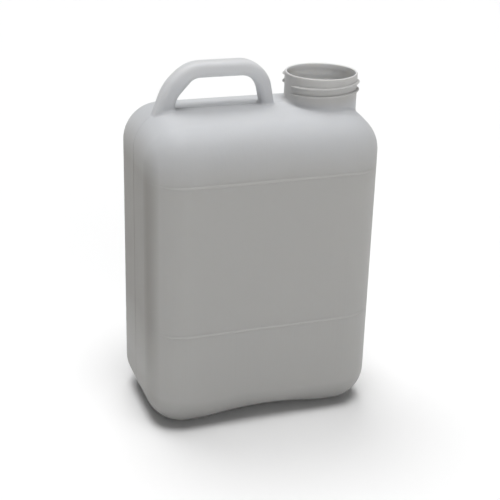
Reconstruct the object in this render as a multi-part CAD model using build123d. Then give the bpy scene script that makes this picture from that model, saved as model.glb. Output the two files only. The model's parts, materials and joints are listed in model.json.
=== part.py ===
from build123d import *
import math
import os

# Body: one blown shell with a crowned top and equally round edges, on two flat feet with an arch between
body_width = 294.8
body_depth = 185.6
body_height = 389.6
edge_radius = 47.0
crown_radius = 300.0
wall = 2.2

# Arch under the body: how high its flanks would meet, and the shares of a flank that its bends take
foot_width = 24.4
arch_peak = 12.0
arch_crown_share = 0.82
arch_foot_share = 0.155

# Witness lines that the mould inserts leave round the body
upper_line_drop = 64.8
lower_line_height = 134.0
line_rise = 0.5
line_width = 1.3

# Neck: a wide mouth that runs down into one shoulder
neck_to_end = 56.3
neck_rise = 39.5
neck_radius = 45.0
neck_wall = 2.5
neck_root_fillet = 4.0
rim_bevel = 0.7

# Handle: a hollow loop in the parting plane, open to the body at both feet
handle_to_end = 24.3
handle_to_neck = 15.1
handle_rise = 60.2
handle_depth = 24.0
handle_edge_radius = 6.5
handle_wall = 2.2
handle_root = 25.0
handle_foot_fillet = 4.0
grip_thickness = 18.6
rear_leg_width = 23.2
front_leg_width = 17.9

# Corners of the loop and of its window from the rear foot to the front foot, as shares of span and rise,
# and the radii of their bends as shares of the span
loop_corner_shares = [(0, 0), (0.088, 0.577), (0.268, 1), (0.907, 1), (0.985, 0)]
loop_bend_shares = [0, 0.39, 0.292, 0.26, 0]
window_corner_shares = [(0, 0), (0.039, 0.45), (0.226, 1), (0.918, 1), (1, 0)]
window_bend_shares = [0, 0.221, 0.159, 0.22, 0]

# How far cuts run past what they cut
overrun = 5.0

neck_axis = body_width / 2 - neck_to_end
rim_height = body_height + neck_rise
neck_foot = body_height - edge_radius
crown_axis = neck_foot - math.sqrt((crown_radius - edge_radius) ** 2 - (body_depth / 2 - edge_radius) ** 2)
crest_height = crown_axis + crown_radius
handle_span = body_width - handle_to_end - handle_to_neck - neck_radius - neck_to_end
upper_line_height = body_height - upper_line_drop
arch_run = body_width / 2 - edge_radius - foot_width
arch_slope = math.atan2(arch_peak, arch_run)
arch_flank = math.hypot(arch_run, arch_peak)
arch_crown_radius = arch_crown_share * arch_flank / math.tan(arch_slope)
arch_foot_radius = arch_foot_share * arch_flank / math.tan(arch_slope / 2)


def blown_box(skin):
    # The body's form drawn in by the skin: its side outline given depth, crowned, with all edges rounded
    end = body_width / 2 - skin
    top = crest_height - skin
    corners = [
        (-end, skin),
        (-arch_run, skin),
        (0, skin + arch_peak),
        (arch_run, skin),
        (end, skin),
        (end, top),
        (-end, top),
    ]
    bends = [0, arch_foot_radius - skin, arch_crown_radius + skin, arch_foot_radius - skin, 0, 0, 0]
    outline = make_face(FilletPolyline(*corners, radius=bends, close=True))
    block = extrude(Plane.XZ * outline, amount=body_depth / 2 - skin, both=True)
    block &= Pos(0, 0, crown_axis) * Rot(0, 90, 0) * Cylinder(crown_radius - skin, body_width + overrun)
    rims = [face.edges() for face in block.faces().filter_by(Axis.Y)]
    middle = block.edges().group_by(lambda edge: abs(edge.center().Y))[0]
    ends = middle.group_by(lambda edge: abs(edge.center().X))[-1]
    return fillet(rims[0] + rims[1] + ends, edge_radius - skin)


def handle_outline():
    # The loop seen from the side, with its feet carried on down into the body
    start = handle_to_end - body_width / 2
    window_start = start + rear_leg_width
    window_span = handle_span - rear_leg_width - front_leg_width
    window_rise = handle_rise - grip_thickness

    def corners(shares, left, span, rise):
        points = [(left + x * span, body_height + z * rise) for x, z in shares]
        ends = [(points[0], points[1]), (points[-1], points[-2])]
        feet = []
        for foot, corner in ends:
            lean = (corner[0] - foot[0]) / (corner[1] - foot[1])
            feet.append((foot[0] - lean * handle_root, foot[1] - handle_root))
        return [feet[0], *points[1:-1], feet[1]]

    loop = corners(loop_corner_shares, start, handle_span, handle_rise)
    window = corners(window_corner_shares, window_start, window_span, window_rise)
    loop_radii = [share * handle_span for share in loop_bend_shares]
    window_radii = [share * window_span for share in window_bend_shares]
    line = FilletPolyline(*loop, *window[::-1], radius=loop_radii + window_radii[::-1], close=True)
    return make_face(line)


def handle_bar(outline, half_depth):
    # The loop's outline given its depth
    return extrude(Plane.XZ * outline, amount=half_depth, both=True)


def long_edges(bar):
    # The edges that run along the loop, without those across its feet
    sides = bar.faces().filter_by(Axis.Y)
    feet = bar.faces().sort_by(Axis.Z)[:2]
    across = [edge.center() for foot in feet for edge in foot.edges()]
    return (sides[0].edges() + sides[-1].edges()).filter_by(lambda edge: edge.center() not in across)


def neck_tube(radius, foot, top):
    return Pos(neck_axis, 0, foot) * Cylinder(
        radius, top - foot, align=(Align.CENTER, Align.CENTER, Align.MIN)
    )


def witness_line(height):
    # A fine raised line round the body
    outline = RectangleRounded(
        body_width + 2 * line_rise, body_depth + 2 * line_rise, edge_radius + line_rise
    )
    return extrude(Pos(0, 0, height) * outline, amount=line_width / 2, both=True)


def with_fillet(base, added, radius):
    # Joins a piece to the body and rounds the line where the two meet
    joined = base + added
    return fillet(new_edges(base, added, combined=joined), radius)


def canister():
    loop = handle_outline()
    handle = fillet(long_edges(handle_bar(loop, handle_depth / 2)), handle_edge_radius)
    outside = with_fillet(blown_box(0), handle, handle_foot_fillet)
    outside = with_fillet(outside, neck_tube(neck_radius, neck_foot, rim_height), neck_root_fillet)
    outside += witness_line(upper_line_height) + witness_line(lower_line_height)

    core = handle_bar(offset(loop, amount=-handle_wall), handle_depth / 2 - handle_wall)
    core_bevel = (handle_edge_radius - handle_wall) * (2 - math.sqrt(2))
    inside = blown_box(wall)
    inside += chamfer(long_edges(core), core_bevel)
    inside += neck_tube(neck_radius - neck_wall, neck_foot, rim_height + overrun)
    shell = outside - inside
    rim = shell.edges().filter_by(GeomType.CIRCLE).filter_by(
        lambda edge: math.isclose(edge.center().Z, rim_height)
    )
    return chamfer(rim, rim_bevel)


os.makedirs("parts", exist_ok=True)
export_step(canister(), "parts/canister_body.step")
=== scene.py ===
import json
import math

import bmesh
import bpy
from mathutils import Matrix, Vector
from mathutils.bvhtree import BVHTree


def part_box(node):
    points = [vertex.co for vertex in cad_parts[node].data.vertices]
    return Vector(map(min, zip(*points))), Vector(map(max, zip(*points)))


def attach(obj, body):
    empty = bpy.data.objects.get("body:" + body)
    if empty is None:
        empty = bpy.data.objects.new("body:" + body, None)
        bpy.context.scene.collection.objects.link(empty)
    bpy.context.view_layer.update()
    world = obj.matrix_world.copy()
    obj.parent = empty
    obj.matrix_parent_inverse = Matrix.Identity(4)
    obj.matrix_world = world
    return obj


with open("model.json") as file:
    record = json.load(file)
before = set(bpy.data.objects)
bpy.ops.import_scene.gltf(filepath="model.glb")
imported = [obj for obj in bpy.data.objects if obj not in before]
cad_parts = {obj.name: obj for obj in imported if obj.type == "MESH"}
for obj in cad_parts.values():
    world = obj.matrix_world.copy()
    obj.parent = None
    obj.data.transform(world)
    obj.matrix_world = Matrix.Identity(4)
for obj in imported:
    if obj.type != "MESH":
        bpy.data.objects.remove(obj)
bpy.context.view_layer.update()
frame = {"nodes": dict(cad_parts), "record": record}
canister = frame["nodes"]["canister_body"]
bodyLow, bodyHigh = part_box("canister_body")
neckMount = next(mount for mount in frame["record"]["mounts"] if mount["name"] == "neck")
neckAxisX = neckMount["pos_m"][0]
neckRadius = neckMount["dims"]["r_mm"] / 1000
print("frame loaded, box", [round(high - low, 4) for low, high in zip(bodyLow, bodyHigh)])


# small helpers for node trees
def addNode(tree, kind, **settings):
    node = tree.nodes.new(kind)
    for label, value in settings.items():
        setattr(node, label, value)
    return node


def setOrLink(tree, socket, value):
    if isinstance(value, bpy.types.NodeSocket):
        tree.links.new(value, socket)
    else:
        socket.default_value = value


def mathNode(tree, operation, *values):
    node = addNode(tree, "ShaderNodeMath", operation=operation)
    for socket, value in zip(node.inputs, values):
        setOrLink(tree, socket, value)
    return node.outputs[0]


def product(tree, result, *factors):
    for factor in factors:
        result = mathNode(tree, "MULTIPLY", result, factor)
    return result


def flatDistance(tree, first, second):
    squares = [mathNode(tree, "POWER", side, 2.0) for side in (first, second)]
    return mathNode(tree, "SQRT", mathNode(tree, "ADD", *squares))


def combine(tree, **parts):
    node = addNode(tree, "ShaderNodeCombineXYZ")
    for axis, value in parts.items():
        tree.links.new(value, node.inputs[axis])
    return node.outputs["Vector"]


def separate(tree, vector):
    node = addNode(tree, "ShaderNodeSeparateXYZ")
    tree.links.new(vector, node.inputs["Vector"])
    return node.outputs


def mapped(tree, value, source, target):
    node = addNode(tree, "ShaderNodeMapRange")
    for label, limit in zip(("From Min", "From Max", "To Min", "To Max"), (*source, *target)):
        setOrLink(tree, node.inputs[label], limit)
    tree.links.new(value, node.inputs["Value"])
    return node.outputs["Result"]


def spreadAbout(tree, value, middle, spread):
    return mapped(tree, value, (0.0, 1.0), (middle - spread / 2, middle + spread / 2))


def addNoise(tree, place, scale, detail):
    noise = addNode(tree, "ShaderNodeTexNoise")
    noise.inputs["Scale"].default_value = scale
    noise.inputs["Detail"].default_value = detail
    tree.links.new(place, noise.inputs["Vector"])
    return noise.outputs["Fac"]


def addRamp(tree, stops, top, level):
    # stops and level are in metres, from nothing to top
    ramp = addNode(tree, "ShaderNodeValToRGB")
    marks = ramp.color_ramp.elements
    while len(marks) < len(stops):
        marks.new(1.0)
    for mark, (place, tone) in zip(marks, stops):
        mark.position = place / top
        mark.color = (*tone, 1) if isinstance(tone, tuple) else (tone, tone, tone, 1)
    tree.links.new(mathNode(tree, "DIVIDE", level, top), ramp.inputs["Fac"])
    return ramp.outputs["Color"]


def mixColours(tree, share, first, second, blend="MIX"):
    node = addNode(tree, "ShaderNodeMix", data_type="RGBA", blend_type=blend)
    for number, value in ((0, share), (6, first), (7, second)):  # a Mix node's sockets for colours
        setOrLink(tree, node.inputs[number], value)
    return node.outputs[2]


# the plastic: natural polyethylene, slightly waxy, with a faint grain and slow waves from the mould
plastic = {
    "toneTop": 0.45,
    "paintedShadingTones": [  # metres up and colour: painted shade darkening the foot, painted light making the shoulder and top lighter and bluer
        (0.0, (0.20, 0.198, 0.194)),
        (0.045, (0.435, 0.431, 0.42)),
        (0.325, (0.445, 0.440, 0.428)),
        (0.385, (0.565, 0.575, 0.592)),
        (0.45, (0.69, 0.695, 0.705)),
    ],
    "toneSpread": 0.027,  # metres that the clouds move the tones up and down
    "toneScale": 9.0,
    "toneDetail": 5.0,
    # painted shade: a darker colour mixed into both ends of the body
    "endShadeTone": (0.62, 0.606, 0.582),
    "endShadeReach": (0.136, 0.1474),  # metres from the middle
    "endShadeShares": [(0.0, 0.6), (0.07, 0.35), (0.15, 1.0), (0.33, 1.0), (0.385, 0.0)],  # metres up and share
    "neckTonesWithLitInside": [(0.0432, (0.93, 0.925, 0.91)), (0.0446, (0.53, 0.526, 0.518))],  # inside, painted light, and outside
    "neckReach": (0.049, 0.053),  # metres from the neck's axis
    "neckRise": (0.392, 0.402),  # metres up
    "roughness": 0.42,
    "roughnessSpread": 0.10,
    "waveScale": 14.0,
    "waveDetail": 1.0,
    "waveHeight": 0.0012,
    "streakScale": (260.0, 260.0, 3.0),  # upright lines that the die leaves in the blown tube
    "streakDetail": 2.0,
    "streakHeight": 0.0001,
    "grainScale": 900.0,
    "grainDetail": 2.0,
    "grainHeight": 0.00006,
    "glowWeight": 0.6,
    "fineGlowWeight": 0.0,  # small pieces set into the wall lose no light through it
    "glowRadius": (0.006, 0.0057, 0.0053),
    "glowScale": 1.0,
    "ior": 1.5,
    "gloss": 0.15,
}


def wallToneWithPaintedShading(tree, spot, clouds):
    level = mathNode(tree, "ADD", spot["Z"], spreadAbout(tree, clouds, 0.0, plastic["toneSpread"]))
    # painted shade at the foot and painted light up the shoulder and top, set by height
    wall = addRamp(tree, plastic["paintedShadingTones"], plastic["toneTop"], level)

    # painted shade: the ends are darkened in colour, most at mid height, as side faces turned from the light
    # would be
    endShadeShare = addRamp(tree, plastic["endShadeShares"], plastic["toneTop"], spot["Z"])
    outward = mapped(tree, mathNode(tree, "ABSOLUTE", spot["X"]), plastic["endShadeReach"], (0.0, 1.0))
    return mixColours(tree, product(tree, outward, endShadeShare), wall, (*plastic["endShadeTone"], 1), "MULTIPLY")


def neckTone(tree, spot, wall):
    # the neck's wall is thick: darker outside; painted light: its inside is coloured near white for the
    # light that comes through the wall
    away = flatDistance(tree, mathNode(tree, "SUBTRACT", spot["X"], neckAxisX), spot["Y"])
    neck = addRamp(tree, plastic["neckTonesWithLitInside"], plastic["neckReach"][1], away)
    near = mapped(tree, away, plastic["neckReach"], (1.0, 0.0))
    above = mapped(tree, spot["Z"], plastic["neckRise"], (0.0, 1.0))
    return mixColours(tree, product(tree, near, above), wall, neck)


def mouldRelief(tree, place):
    stretched = addNode(tree, "ShaderNodeMapping")
    stretched.inputs["Scale"].default_value = plastic["streakScale"]
    tree.links.new(place, stretched.inputs["Vector"])
    heights = {
        "wave": addNoise(tree, place, plastic["waveScale"], plastic["waveDetail"]),
        "streak": addNoise(tree, stretched.outputs["Vector"], 1.0, plastic["streakDetail"]),
        "grain": addNoise(tree, place, plastic["grainScale"], plastic["grainDetail"]),
    }
    normal = None
    for layer, height in heights.items():
        bump = addNode(tree, "ShaderNodeBump")
        bump.inputs["Strength"].default_value = 1.0
        bump.inputs["Distance"].default_value = plastic[layer + "Height"]
        tree.links.new(height, bump.inputs["Height"])
        if normal:
            tree.links.new(normal, bump.inputs["Normal"])
        normal = bump.outputs["Normal"]
    return normal


def makePlastic(name, glowWeight):
    material = bpy.data.materials.new(name)
    material.use_nodes = True
    tree = material.node_tree
    shader = tree.nodes["Principled BSDF"]
    place = addNode(tree, "ShaderNodeTexCoord").outputs["Object"]
    spot = separate(tree, place)
    clouds = addNoise(tree, place, plastic["toneScale"], plastic["toneDetail"])
    values = {
        "Base Color": neckTone(tree, spot, wallToneWithPaintedShading(tree, spot, clouds)),
        "Roughness": spreadAbout(tree, clouds, plastic["roughness"], plastic["roughnessSpread"]),
        "Normal": mouldRelief(tree, place),
        "Subsurface Weight": glowWeight,
        "Subsurface Radius": plastic["glowRadius"],
        "Subsurface Scale": plastic["glowScale"],
        "IOR": plastic["ior"],
        "Specular IOR Level": plastic["gloss"],
    }
    for label, value in values.items():
        setOrLink(tree, shader.inputs[label], value)
    return material


plasticLook = makePlastic("naturalPolyethylene", plastic["glowWeight"])
fineLook = makePlastic("naturalPolyethyleneFine", plastic["fineGlowWeight"])
canister.data.materials.clear()
canister.data.materials.append(plasticLook)
print("plastic ready")


# small helpers for pieces made by Geometry Nodes
sharpAngle = math.radians(35)  # steeper edges stay crisp


def socketIn(tree, name, kind, value):
    socket = tree.interface.new_socket(name, in_out="INPUT", socket_type=kind)
    socket.default_value = value
    return socket.identifier


def startTree(name, sizes, counts=(), shaped=False):
    tree = bpy.data.node_groups.new(name, "GeometryNodeTree")
    tree.interface.new_socket("Geometry", in_out="OUTPUT", socket_type="NodeSocketGeometry")
    if shaped:
        tree.interface.new_socket("Geometry", in_out="INPUT", socket_type="NodeSocketGeometry")
    ids = {label: socketIn(tree, label, "NodeSocketFloat", 0.0) for label in sizes}
    ids.update({label: socketIn(tree, label, "NodeSocketInt", 4) for label in counts})
    ids["Look"] = socketIn(tree, "Look", "NodeSocketMaterial", None)
    return tree, ids, addNode(tree, "NodeGroupInput").outputs


def endTree(tree, shape, look):
    real = addNode(tree, "GeometryNodeRealizeInstances")
    tree.links.new(shape, real.inputs["Geometry"])
    dressed = addNode(tree, "GeometryNodeSetMaterial")
    tree.links.new(real.outputs["Geometry"], dressed.inputs["Geometry"])
    tree.links.new(look, dressed.inputs["Material"])
    result = addNode(tree, "NodeGroupOutput")
    tree.links.new(dressed.outputs["Geometry"], result.inputs["Geometry"])


def setModifier(owner, name, tree, ids, values):
    modifier = owner.modifiers.new(name, "NODES")
    modifier.node_group = tree
    for label, value in values.items():
        modifier[ids[label]] = value


def realMesh(name, tree, ids, values, source=None, move=None):
    holder = bpy.data.objects.new(name + "Source", source or bpy.data.meshes.new(name + "Source"))
    bpy.context.scene.collection.objects.link(holder)
    setModifier(holder, name, tree, ids, values)
    bpy.context.view_layer.update()
    seen = holder.evaluated_get(bpy.context.evaluated_depsgraph_get())
    mesh = bpy.data.meshes.new_from_object(seen)
    bpy.data.objects.remove(holder)
    if move:
        mesh.transform(move)
    mesh.set_sharp_from_angle(angle=sharpAngle)
    piece = bpy.data.objects.new(name, mesh)
    bpy.context.scene.collection.objects.link(piece)
    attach(piece, "root")
    print(name, "made,", len(mesh.polygons), "faces")


# the witness lines: wide low beads on the front and back that die away round the corners
beads = {
    "lineRise": 0.0005,  # how far the part's own lines stand out of its wall
    "cornerRadius": 0.047,
    "cornerPoints": 16,
    "width": 0.0044,
    "height": 0.00065,
    "sink": 0.0004,
    "lowHeight": 0.134,
    "highHeight": 0.3248,
    "fadeFrom": 0.5,  # shares of the corner's turn from the end to the front
    "fadeTo": 0.9,
    "leastScale": 0.02,
    "leastReach": 0.0001,
    "slicePoints": 24,
    "sliceFoot": -0.01,  # on a ring of radius 1, what lies lower is under the wall
}
cornerValues = {
    "Body Width": bodyHigh.x - bodyLow.x - 2 * beads["lineRise"],
    "Body Depth": bodyHigh.y - bodyLow.y - 2 * beads["lineRise"],
    "Corner Radius": beads["cornerRadius"],
    "Least Reach": beads["leastReach"],
    "Fade From": beads["fadeFrom"],
    "Fade To": beads["fadeTo"],
}
cornerSizes = tuple(cornerValues)


def cornerReach(tree, given, spot):
    # how far a point stands out of the flat stretches of the wall, along each axis and in all
    reach = {}
    for axis, size in (("X", "Body Width"), ("Y", "Body Depth")):
        flat = mathNode(tree, "SUBTRACT", mathNode(tree, "DIVIDE", given[size], 2.0), given["Corner Radius"])
        past = mathNode(tree, "SUBTRACT", mathNode(tree, "ABSOLUTE", spot[axis]), flat)
        reach[axis] = mathNode(tree, "MAXIMUM", past, 0.0)
    return reach, mathNode(tree, "MAXIMUM", flatDistance(tree, *reach.values()), given["Least Reach"])


def lineShare(tree, given, reach, away):
    # how much of a line is left where the wall faces
    facing = mathNode(tree, "DIVIDE", reach["Y"], away)
    return mapped(tree, facing, (given["Fade From"], given["Fade To"]), (0.0, 1.0))


def makeLineFade():
    # draws the part's own raised lines into the wall where the beads die away
    tree, ids, given = startTree("lineFade", cornerSizes, shaped=True)
    spot = separate(tree, addNode(tree, "GeometryNodeInputPosition").outputs["Position"])
    reach, away = cornerReach(tree, given, spot)
    over = mathNode(tree, "MAXIMUM", mathNode(tree, "SUBTRACT", away, given["Corner Radius"]), 0.0)
    gone = mathNode(tree, "SUBTRACT", 1.0, lineShare(tree, given, reach, away))
    lost = mathNode(tree, "DIVIDE", product(tree, over, gone), away)
    shift = {}
    for axis in ("X", "Y"):
        inward = product(tree, mathNode(tree, "SIGN", spot[axis]), -1.0)
        shift[axis] = product(tree, reach[axis], lost, inward)
    moved = addNode(tree, "GeometryNodeSetPosition")
    tree.links.new(given["Geometry"], moved.inputs["Geometry"])
    tree.links.new(combine(tree, **shift), moved.inputs["Offset"])
    endTree(tree, moved.outputs["Geometry"], given["Look"])
    return tree, ids


def makeBeads():
    sizes = ("Width", "Height", "Sink", "Slice Foot", "Low Height", "High Height", "Least Scale")
    tree, ids, given = startTree("witnessBeads", cornerSizes + sizes, ("Corner Points", "Slice Points"))
    link = tree.links.new
    path = addNode(tree, "GeometryNodeCurvePrimitiveQuadrilateral", mode="RECTANGLE")
    link(given["Body Width"], path.inputs["Width"])
    link(given["Body Depth"], path.inputs["Height"])
    bent = addNode(tree, "GeometryNodeFilletCurve", mode="POLY")
    link(path.outputs["Curve"], bent.inputs["Curve"])
    link(given["Corner Points"], bent.inputs["Count"])
    link(given["Corner Radius"], bent.inputs["Radius"])
    upright = addNode(tree, "GeometryNodeSetCurveNormal", mode="Z_UP")
    link(bent.outputs["Curve"], upright.inputs["Curve"])
    spot = separate(tree, addNode(tree, "GeometryNodeInputPosition").outputs["Position"])
    left = lineShare(tree, given, *cornerReach(tree, given, spot))

    # the bead's slice: a ring drawn into a bell on the wall, closed beneath the surface
    ring = addNode(tree, "GeometryNodeCurvePrimitiveCircle", mode="RADIUS")
    ring.inputs["Radius"].default_value = 1.0
    link(given["Slice Points"], ring.inputs["Resolution"])
    across = product(tree, spot["X"], given["Width"], -0.5)
    swell = mathNode(tree, "ADD", mathNode(tree, "COSINE", product(tree, spot["X"], math.pi)), 1.0)
    bell = product(tree, swell, given["Height"], 0.5)
    above = mathNode(tree, "GREATER_THAN", spot["Y"], given["Slice Foot"])
    under = product(tree, mathNode(tree, "SUBTRACT", 1.0, above), given["Sink"])
    rise = mathNode(tree, "SUBTRACT", product(tree, above, bell), under)
    profile = addNode(tree, "GeometryNodeSetPosition")
    link(ring.outputs["Curve"], profile.inputs["Geometry"])
    link(combine(tree, X=rise, Y=across), profile.inputs["Position"])
    bead = addNode(tree, "GeometryNodeCurveToMesh")
    link(upright.outputs["Curve"], bead.inputs["Curve"])
    link(profile.outputs["Geometry"], bead.inputs["Profile Curve"])
    link(mathNode(tree, "MAXIMUM", left, given["Least Scale"]), bead.inputs["Scale"])

    places = addNode(tree, "GeometryNodeMeshLine")
    places.inputs["Count"].default_value = 2
    link(combine(tree, Z=given["Low Height"]), places.inputs["Start Location"])
    apart = mathNode(tree, "SUBTRACT", given["High Height"], given["Low Height"])
    link(combine(tree, Z=apart), places.inputs["Offset"])
    copies = addNode(tree, "GeometryNodeInstanceOnPoints")
    link(places.outputs["Mesh"], copies.inputs["Points"])
    link(bead.outputs["Mesh"], copies.inputs["Instance"])
    endTree(tree, copies.outputs["Instances"], given["Look"])
    return tree, ids


setModifier(canister, "lineFade", *makeLineFade(), {**cornerValues, "Look": plasticLook})
realMesh("witnessBeads", *makeBeads(), {
    **cornerValues,
    "Width": beads["width"],
    "Height": beads["height"],
    "Sink": beads["sink"],
    "Slice Foot": beads["sliceFoot"],
    "Low Height": beads["lowHeight"],
    "High Height": beads["highHeight"],
    "Least Scale": beads["leastScale"],
    "Corner Points": beads["cornerPoints"],
    "Slice Points": beads["slicePoints"],
    "Look": fineLook,
})


# the parting seam: a fine bead where the mould halves meet, stronger where they pinch the plastic
seam = {
    "radius": 0.0002,
    "slicePoints": 8,
    "lowest": 0.02,
    "neckFrom": 0.04,
    "neckTop": 0.4280,
    "probe": 0.001,
    "mergeReach": 0.00002,
    "cutReach": 0.0000001,
    "joinReach": 0.0001,
    "planeReach": 0.000001,
    "pinchScale": 3.0,  # in the handle's window
    "pinchFrom": -0.097,
    "pinchTo": 0.010,
    "pinchBelow": 0.400,
}


def outsideSection():
    # the edges where the parting plane cuts the outside of the part
    form = bmesh.new()
    form.from_object(canister, bpy.context.evaluated_depsgraph_get())
    bmesh.ops.remove_doubles(form, verts=form.verts, dist=seam["mergeReach"])
    everything = form.verts[:] + form.edges[:] + form.faces[:]
    partingPlane = {"plane_co": (0, 0, 0), "plane_no": (0, 1, 0)}
    bmesh.ops.bisect_plane(form, geom=everything, dist=seam["cutReach"], **partingPlane)
    bmesh.ops.remove_doubles(form, verts=form.verts, dist=seam["joinReach"])
    form.normal_update()
    solid = BVHTree.FromBMesh(form)
    points, edges, numbers = [], [], {}
    for edge in form.edges:
        if any(abs(corner.co.y) > seam["planeReach"] for corner in edge.verts):
            continue
        middle = (edge.verts[0].co + edge.verts[1].co) / 2
        onRim = middle.x > seam["neckFrom"] and middle.z > seam["neckTop"]
        if middle.z < seam["lowest"] or onRim:
            continue
        outward = sum((face.normal for face in edge.link_faces), Vector())
        start = middle + Vector((outward.x, 0, outward.z)).normalized() * seam["probe"]
        if any(solid.ray_cast(start, Vector((0, side, 0)))[0] for side in (1, -1)):
            continue  # walls on a side: the edge is on the inside
        for corner in edge.verts:
            if corner not in numbers:
                numbers[corner] = len(points)
                points.append((corner.co.x, 0, corner.co.z))
        edges.append([numbers[corner] for corner in edge.verts])
    mesh = bpy.data.meshes.new("seamPath")
    mesh.from_pydata(points, edges, [])
    form.free()
    return mesh


def makeSeam():
    sizes = ("Radius", "Pinch Scale", "Pinch From", "Pinch To", "Pinch Below")
    tree, ids, given = startTree("partingSeam", sizes, ("Slice Points",), shaped=True)
    link = tree.links.new
    path = addNode(tree, "GeometryNodeMeshToCurve")
    link(given["Geometry"], path.inputs["Mesh"])
    ring = addNode(tree, "GeometryNodeCurvePrimitiveCircle", mode="RADIUS")
    link(given["Slice Points"], ring.inputs["Resolution"])
    link(given["Radius"], ring.inputs["Radius"])
    spot = separate(tree, addNode(tree, "GeometryNodeInputPosition").outputs["Position"])
    pinched = product(
        tree,
        mathNode(tree, "GREATER_THAN", spot["X"], given["Pinch From"]),
        mathNode(tree, "LESS_THAN", spot["X"], given["Pinch To"]),
        mathNode(tree, "LESS_THAN", spot["Z"], given["Pinch Below"]),
    )
    more = product(tree, pinched, mathNode(tree, "SUBTRACT", given["Pinch Scale"], 1.0))
    bead = addNode(tree, "GeometryNodeCurveToMesh")
    bead.inputs["Fill Caps"].default_value = True
    link(path.outputs["Curve"], bead.inputs["Curve"])
    link(ring.outputs["Curve"], bead.inputs["Profile Curve"])
    link(mathNode(tree, "ADD", more, 1.0), bead.inputs["Scale"])
    endTree(tree, bead.outputs["Mesh"], given["Look"])
    return tree, ids


realMesh("partingSeam", *makeSeam(), {
    "Radius": seam["radius"],
    "Pinch Scale": seam["pinchScale"],
    "Pinch From": seam["pinchFrom"],
    "Pinch To": seam["pinchTo"],
    "Pinch Below": seam["pinchBelow"],
    "Slice Points": seam["slicePoints"],
    "Look": fineLook,
}, source=outsideSection())


# the neck's thread: one right-hand start, broken at the parting plane
thread = {
    "rimHeight": 0.4291,
    "belowRim": 0.0234,
    "pitch": 0.0097,
    "height": 0.0029,
    "rootWidth": 0.0038,
    "crestWidth": 0.0013,
    "sink": 0.0006,
    "breakAngle": 12.0,  # degrees to each side of the parting plane
    "fadeShare": 0.12,
    "leastScale": 0.05,
    "stretches": 4,
    "pointsPerStretch": 60,
}


def makeThread():
    sliceSizes = ("Height", "Root Width", "Crest Width", "Sink")
    pathSizes = ("Radius", "Pitch", "Start", "Sweep", "Fade", "Least Scale")
    tree, ids, given = startTree("neckThread", sliceSizes + pathSizes, ("Stretches", "Points"))
    link = tree.links.new

    # one stretch as a line of points laid on a helix
    line = addNode(tree, "GeometryNodeMeshLine")
    link(given["Points"], line.inputs["Count"])
    index = addNode(tree, "GeometryNodeInputIndex").outputs["Index"]
    share = mathNode(tree, "DIVIDE", index, mathNode(tree, "SUBTRACT", given["Points"], 1.0))
    swept = product(tree, share, given["Sweep"])
    turn = mathNode(tree, "ADD", given["Start"], swept)
    helix = combine(
        tree,
        X=product(tree, mathNode(tree, "COSINE", turn), given["Radius"]),
        Y=product(tree, mathNode(tree, "SINE", turn), given["Radius"]),
        Z=product(tree, swept, mathNode(tree, "DIVIDE", given["Pitch"], 2 * math.pi)),
    )
    laid = addNode(tree, "GeometryNodeSetPosition")
    link(line.outputs["Mesh"], laid.inputs["Geometry"])
    link(helix, laid.inputs["Position"])
    curve = addNode(tree, "GeometryNodeMeshToCurve")
    link(laid.outputs["Geometry"], curve.inputs["Mesh"])
    upright = addNode(tree, "GeometryNodeSetCurveNormal", mode="Z_UP")
    link(curve.outputs["Curve"], upright.inputs["Curve"])

    # the ridge dies away towards both ends
    near = mathNode(tree, "MINIMUM", share, mathNode(tree, "SUBTRACT", 1.0, share))
    fade = mathNode(tree, "MINIMUM", mathNode(tree, "DIVIDE", near, given["Fade"]), 1.0)
    swell = mathNode(tree, "SINE", product(tree, fade, math.pi / 2))

    # its slice: a trapezium standing on the neck
    profile = addNode(tree, "GeometryNodeCurvePrimitiveQuadrilateral", mode="POINTS")
    foot = product(tree, given["Sink"], -1.0)
    root = mathNode(tree, "DIVIDE", given["Root Width"], 2.0)
    crest = mathNode(tree, "DIVIDE", given["Crest Width"], 2.0)
    top = given["Height"]
    corners = ((foot, root, -1.0), (top, crest, -1.0), (top, crest, 1.0), (foot, root, 1.0))
    for number, (reach, width, side) in enumerate(corners, start=1):
        link(combine(tree, X=reach, Y=product(tree, width, side)), profile.inputs[f"Point {number}"])
    ridge = addNode(tree, "GeometryNodeCurveToMesh")
    ridge.inputs["Fill Caps"].default_value = True
    link(upright.outputs["Curve"], ridge.inputs["Curve"])
    link(mathNode(tree, "MAXIMUM", swell, given["Least Scale"]), ridge.inputs["Scale"])
    link(profile.outputs["Curve"], ridge.inputs["Profile Curve"])

    # the stretches follow each other by half turns
    places = addNode(tree, "GeometryNodeMeshLine")
    link(given["Stretches"], places.inputs["Count"])
    link(combine(tree, Z=mathNode(tree, "DIVIDE", given["Pitch"], 2.0)), places.inputs["Offset"])
    copies = addNode(tree, "GeometryNodeInstanceOnPoints")
    link(places.outputs["Mesh"], copies.inputs["Points"])
    link(ridge.outputs["Mesh"], copies.inputs["Instance"])
    link(combine(tree, Z=product(tree, index, math.pi)), copies.inputs["Rotation"])
    endTree(tree, copies.outputs["Instances"], given["Look"])
    return tree, ids


realMesh("neckThread", *makeThread(), {
    "Radius": neckRadius,
    "Pitch": thread["pitch"],
    "Height": thread["height"],
    "Root Width": thread["rootWidth"],
    "Crest Width": thread["crestWidth"],
    "Sink": thread["sink"],
    "Start": math.radians(180 + thread["breakAngle"]),
    "Sweep": math.radians(180 - 2 * thread["breakAngle"]),
    "Fade": thread["fadeShare"],
    "Least Scale": thread["leastScale"],
    "Stretches": thread["stretches"],
    "Points": thread["pointsPerStretch"],
    "Look": fineLook,
}, move=Matrix.Translation((neckAxisX, 0, thread["rimHeight"] - thread["belowRim"])))


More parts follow.
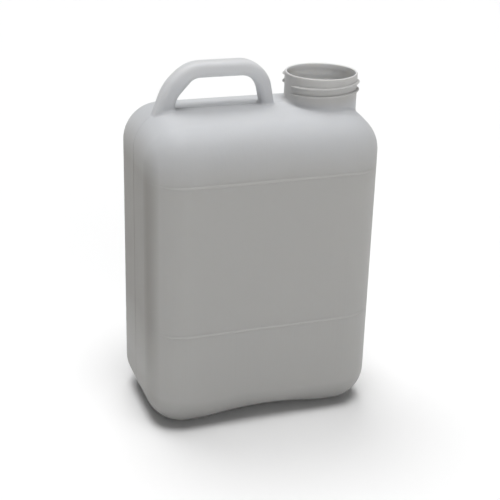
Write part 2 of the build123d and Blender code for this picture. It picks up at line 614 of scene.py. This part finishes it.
# the stage: a pale floor, soft light from above and a pale horizon
stage = {
    "floorSize": 80.0,
    "floorColour": (0.93, 0.93, 0.93),
    "floorRoughness": 0.9,
    "floorGloss": 0.1,
    "worldColour": (1.0, 1.0, 1.0),
    "worldStrength": 0.05,
    "horizonStrength": 1.0,
    "horizonFade": (0.065, 0.085),  # sines of the angles over which the pale horizon ends
    "lights": {  # unit direction towards the light, strength, spread in degrees
        "topSky": ((0.0, -0.18, 0.984), 1.75, 30.0),
        "backSky": ((-0.05, 0.36, 0.93), 1.48, 34.0),
        "lowFill": ((-0.05, -0.92, 0.39), 0.47, 40.0),
    },
}


def makeFloor():
    half = stage["floorSize"] / 2
    corners = [(-half, -half, 0), (half, -half, 0), (half, half, 0), (-half, half, 0)]
    mesh = bpy.data.meshes.new("floor")
    mesh.from_pydata(corners, [], [(0, 1, 2, 3)])
    floor = bpy.data.objects.new("floor", mesh)
    bpy.context.scene.collection.objects.link(floor)
    look = bpy.data.materials.new("floorLook")
    look.use_nodes = True
    shader = look.node_tree.nodes["Principled BSDF"]
    shader.inputs["Base Color"].default_value = (*stage["floorColour"], 1)
    shader.inputs["Roughness"].default_value = stage["floorRoughness"]
    shader.inputs["Specular IOR Level"].default_value = stage["floorGloss"]
    mesh.materials.append(look)


def addSoftLight(name, towards, strength, spread):
    light = bpy.data.lights.new(name, "SUN")
    light.energy = strength
    light.angle = math.radians(spread)
    lamp = bpy.data.objects.new(name, light)
    lamp.rotation_euler = (-Vector(towards)).to_track_quat("-Z", "Y").to_euler()
    bpy.context.scene.collection.objects.link(lamp)


def makeWorld():
    world = bpy.data.worlds.new("studio")
    world.use_nodes = True
    tree = world.node_tree
    glow = tree.nodes["Background"]
    glow.inputs["Color"].default_value = (*stage["worldColour"], 1)
    steepness = separate(tree, addNode(tree, "ShaderNodeTexCoord").outputs["Generated"])["Z"]
    strengths = (stage["horizonStrength"], stage["worldStrength"])
    tree.links.new(mapped(tree, steepness, stage["horizonFade"], strengths), glow.inputs["Strength"])
    bpy.context.scene.world = world
    bpy.context.scene.view_settings.view_transform = "Standard"


makeFloor()
for lightName, lightValues in stage["lights"].items():
    addSoftLight(lightName, *lightValues)
makeWorld()
print("stage ready")


# the camera: where the photograph was taken from
view = {
    "place": (-0.46207, -1.28534, 0.76850),
    "pitch": 0.39408,
    "yaw": 0.34816,
    "roll": 0.02844,
    "focalPixels": 1152.9,
    "imagePixels": 500.0,
    "sensorWidth": 36.0,  # millimetres
    "clipEnd": 200.0,
}


def addCamera():
    pitch, yaw, roll = view["pitch"], view["yaw"], view["roll"]
    forward = Vector((math.sin(yaw) * math.cos(pitch), math.cos(yaw) * math.cos(pitch), -math.sin(pitch)))
    level = Vector((math.cos(yaw), -math.sin(yaw), 0))
    upward = level.cross(forward)
    right = math.cos(roll) * level + math.sin(roll) * upward
    up = math.cos(roll) * upward - math.sin(roll) * level
    lens = bpy.data.cameras.new("camera")
    lens.sensor_fit = "HORIZONTAL"
    lens.sensor_width = view["sensorWidth"]
    lens.lens = view["focalPixels"] / view["imagePixels"] * view["sensorWidth"]
    lens.clip_end = view["clipEnd"]
    camera = bpy.data.objects.new("camera", lens)
    turn = Matrix((right, up, -forward)).transposed().to_4x4()
    camera.matrix_world = Matrix.Translation(view["place"]) @ turn
    bpy.context.scene.collection.objects.link(camera)
    bpy.context.scene.camera = camera


addCamera()
print("camera ready")
